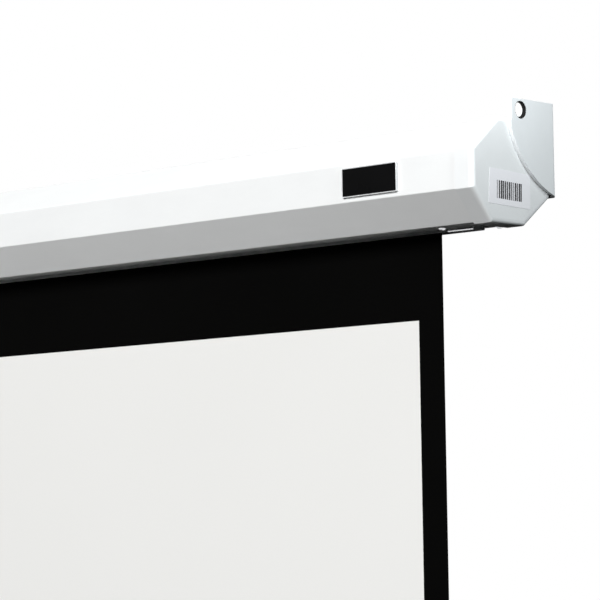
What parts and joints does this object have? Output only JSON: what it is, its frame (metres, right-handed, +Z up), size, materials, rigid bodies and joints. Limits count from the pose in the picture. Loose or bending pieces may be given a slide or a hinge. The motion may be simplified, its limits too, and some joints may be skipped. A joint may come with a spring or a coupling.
{
  "type": "pull down projector screen",
  "caption": "Octagonal white case with moulded end caps and wall brackets, a locking spring roller, and a black bordered viewing sheet drawn down by a weighted bar with a pull handle",
  "frame": {"origin": "mid span, on the wall plane, level with the top edges of the two brackets", "axes": "+Z up, -Y towards the audience, +X towards the end that the picture shows"},
  "size_m": [1.6996, 0.0874, 1.76],
  "materials": {
    "case_paint": "satin white powder coat",
    "bracket_paint": "satin white powder coat",
    "white_moulding": "finely textured white moulding",
    "black_moulding": "finely textured black moulding",
    "black_rubber": "matt black rubber",
    "badge_black": "gloss black",
    "screen_cloth": "matt white viewing cloth with a black border and a black back",
    "black_cloth": "matt coated cloth",
    "zinc_steel": "zinc plated",
    "dark_steel": "oiled steel",
    "screw_steel": "bright nickel"
  },
  "bodies": {
    "root": {"case_shell": "case_paint", "badge_plate": "badge_black", "end_cap_right": "white_moulding", "end_cap_left": "white_moulding", "bracket_right": "bracket_paint", "bracket_left": "bracket_paint", "hanging_bush_right": "black_rubber", "hanging_bush_left": "black_rubber", "roller_support_right": "zinc_steel", "roller_support_left": "zinc_steel", "cap_screw_right": "screw_steel", "cap_screw_left": "screw_steel", "support_screw_right_front": "screw_steel", "support_screw_right_rear": "screw_steel", "support_screw_left_front": "screw_steel", "support_screw_left_rear": "screw_steel", "bracket_screw_right_upper": "screw_steel", "bracket_screw_right_lower": "screw_steel", "bracket_screw_left_upper": "screw_steel", "bracket_screw_left_lower": "screw_steel", "idler_pin": "dark_steel", "spring_shaft": "dark_steel", "spring_collar": "black_moulding", "torsion_spring": "dark_steel", "ratchet_wheel": "zinc_steel", "screen_sheet": "screen_cloth"},
    "roller": {"roller_tube": "zinc_steel", "fabric_wrap": "black_cloth", "roller_plug_idler": "black_moulding", "roller_plug_spring": "black_moulding", "idler_bush": "white_moulding", "spring_plug": "black_moulding", "pawl_pin_upper": "screw_steel", "pawl_pin_lower": "screw_steel"},
    "upper_pawl": {"pawl_upper": "zinc_steel"},
    "lower_pawl": {"pawl_lower": "zinc_steel"},
    "bar": {"hem_rod": "white_moulding", "bottom_bar": "case_paint", "bar_cap_right": "black_moulding", "bar_cap_left": "black_moulding", "handle_saddle": "black_moulding", "handle_screw_right": "screw_steel", "handle_screw_left": "screw_steel"},
    "handle": {"pull_handle": "black_moulding"}
  },
  "joints": [
    {"name": "bar_slide", "type": "slide", "parent": "root", "child": "bar", "axis": [0, 0, 1], "range_m": [0, 1.604], "deforming": ["screen_sheet"]},
    {"name": "roller_turn", "type": "hinge", "parent": "root", "child": "roller", "pos_m": [0, -0.03053, -0.051], "axis": [1, 0, 0], "range_deg": [-4950, 0]},
    {"name": "upper_pawl_swing", "type": "hinge", "parent": "roller", "child": "upper_pawl", "pos_m": [-0.796, -0.03053, -0.038], "axis": [1, 0, 0], "range_deg": [-16, 0]},
    {"name": "lower_pawl_swing", "type": "hinge", "parent": "roller", "child": "lower_pawl", "pos_m": [-0.796, -0.03053, -0.064], "axis": [1, 0, 0], "range_deg": [-16, 0]},
    {"name": "handle_swing", "type": "hinge", "parent": "bar", "child": "handle", "pos_m": [0, -0.047, -1.723], "axis": [1, 0, 0], "range_deg": [-80, 80]}
  ],
  "couplings": [
    {"joint": "roller_turn", "follows": "bar_slide", "rad_per_m": -53.861}
  ]
}
